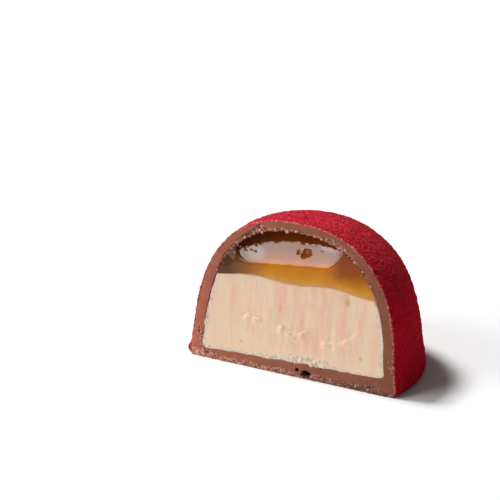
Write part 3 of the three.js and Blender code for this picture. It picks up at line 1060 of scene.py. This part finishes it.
def jelly_colour(material, place, across, shade):
    """The jelly's gold: palest just above the cream and deeper in the bubble, which is partly painted
    shade under the shell's crown; browner at the left end and dark along the lip, both painted shade;
    and redder at the right end."""
    gold = ramp(material, shade, *JELLY_GOLD_AND_SHADE)
    clouds = ramp(material, noise_texture(material, place, 2.2), *JELLY_CLOUDS)
    gold = product(material, gold, clouds)
    # Painted shade at the left end
    gold = mix_colour(material, ramp(material, across, *LEFT_END_SHADE_STOPS), gold, LEFT_END_SHADE)
    right_end = ramp(material, across, (0.68, BLACK), (0.80, grey(0.8)))
    upper = ramp(material, shade, (0.10, BLACK), (0.40, WHITE))
    right_end = product(material, right_end, upper)
    gold = mix_colour(material, right_end, gold, RIGHT_END_RED)
    # Painted shade: a thin dark line along the lip's left part
    gold = mix_colour(material, below_zero(material, shade), gold, LIP_SHADE)
    return with_dots(material, place, gold, *JELLY_BUBBLES_AND_GLINTS)


def jelly_shine(material, place, across, shade):
    """How strongly the jelly reflects: most in the bubble and at its wettest places."""
    shine = ramp(material, across, *SHINE_ACROSS)
    in_dish = ramp(material, shade, (0.44, grey(0.25)), (0.51, WHITE))
    shine = product(material, shine, in_dish)
    for wet_spot in WET_SPOTS:
        bright = ramp(material, spot(material, place, *wet_spot), (0.0, BLACK), (0.6, WHITE))
        shine = mix_colour(material, bright, shine, WHITE)
    return shine


def jelly_material():
    """Clear amber caramel jelly: light passes through it and turns deep gold on its way."""
    material, shader, links = new_material("amber_jelly")
    place = object_place(material)
    shade = shade_value(material)
    across = across_share(material, place, JELLY_HALF_WIDTH)
    links.new(jelly_colour(material, place, across, shade), shader.inputs["Base Color"])
    links.new(jelly_shine(material, place, across, shade), shader.inputs["Specular IOR Level"])
    shader.inputs["Roughness"].default_value = 0.03
    shader.inputs["IOR"].default_value = 1.45
    shader.inputs["Transmission Weight"].default_value = 0.35
    absorb = add_node(material, "VolumeAbsorption")
    absorb.inputs["Color"].default_value = JELLY_ABSORPTION
    absorb.inputs["Density"].default_value = JELLY_DENSITY
    output = material.node_tree.nodes["Material Output"]
    links.new(absorb.outputs["Volume"], output.inputs["Volume"])
    return material


# The studio

CAMERA_PLACE = Vector((245.1, -431.7, 202.7)) * MM
CAMERA_TARGET = Vector((-26.6, 31.9, 0.0)) * MM
CAMERA_LENS = 311.3
SENSOR_WIDTH = 36
NEAREST_SEEN = 0.01
LIGHT_TARGET = Vector((0, 4, 8)) * MM
ROOM_LIGHT = 0.10
TABLE_HALF = 1500
TABLE_WHITE = (0.9, 0.9, 0.9, 1)


def look_at(item, target):
    """Turns a light or camera towards a point."""
    item.rotation_euler = (target - item.location).to_track_quat("-Z", "Y").to_euler()


def add_camera():
    """The camera at the photograph's viewing angle."""
    camera = add_object("camera", bpy.data.cameras.new("camera"))
    camera.location = CAMERA_PLACE
    camera.data.lens = CAMERA_LENS
    camera.data.sensor_width = SENSOR_WIDTH
    camera.data.clip_start = NEAREST_SEEN
    look_at(camera, CAMERA_TARGET)
    bpy.context.scene.camera = camera


def add_softbox(name, place, size, power):
    """A soft rectangular light that looks at the praline."""
    light = bpy.data.lights.new(name, "AREA")
    light.shape = "RECTANGLE"
    light.size, light.size_y = (side * MM for side in size)
    light.energy = power
    lamp = add_object(name, light)
    lamp.location = Vector(place) * MM
    look_at(lamp, LIGHT_TARGET)


def add_floor():
    """A plain white table."""
    low, high = -TABLE_HALF * MM, TABLE_HALF * MM
    corners = [(low, low, 0), (high, low, 0), (high, high, 0), (low, high, 0)]
    mesh = bpy.data.meshes.new("table")
    mesh.from_pydata(corners, [], [(0, 1, 2, 3)])
    table = add_object("table", mesh)
    material, shader, _ = new_material("white_table")
    shader.inputs["Base Color"].default_value = TABLE_WHITE
    shader.inputs["Roughness"].default_value = 0.8
    mesh.materials.append(material)


def add_studio():
    """Soft studio light: a high box at the left, a large one in front, and a pale room."""
    add_softbox("key", (-860, 76, 1355), (400, 330), 27)
    add_softbox("front", (-938, -990, 1014), (820, 780), 12)
    room = bpy.data.worlds.new("room")
    bpy.context.scene.world = room
    room.use_nodes = True
    background = room.node_tree.nodes["Background"]
    background.inputs["Color"].default_value = (1, 1, 1, 1)
    background.inputs["Strength"].default_value = ROOM_LIGHT
    bpy.context.scene.view_settings.view_transform = "Standard"


add_camera()
add_studio()
add_floor()
finish_piece(velvet_coat(), velvet_material(), "velvet_coat", "velvet_coat")
chocolate = chocolate_material()
finish_piece(chocolate_shell(), chocolate, "chocolate", "chocolate_shell")
finish_piece(chocolate_crumbs(), crumb_material(), "chocolate")
finish_piece(cream_filling(), cream_material(), "cream", "cream_filling")
finish_piece(caramel_jelly(), jelly_material(), "caramel", "caramel_layer")
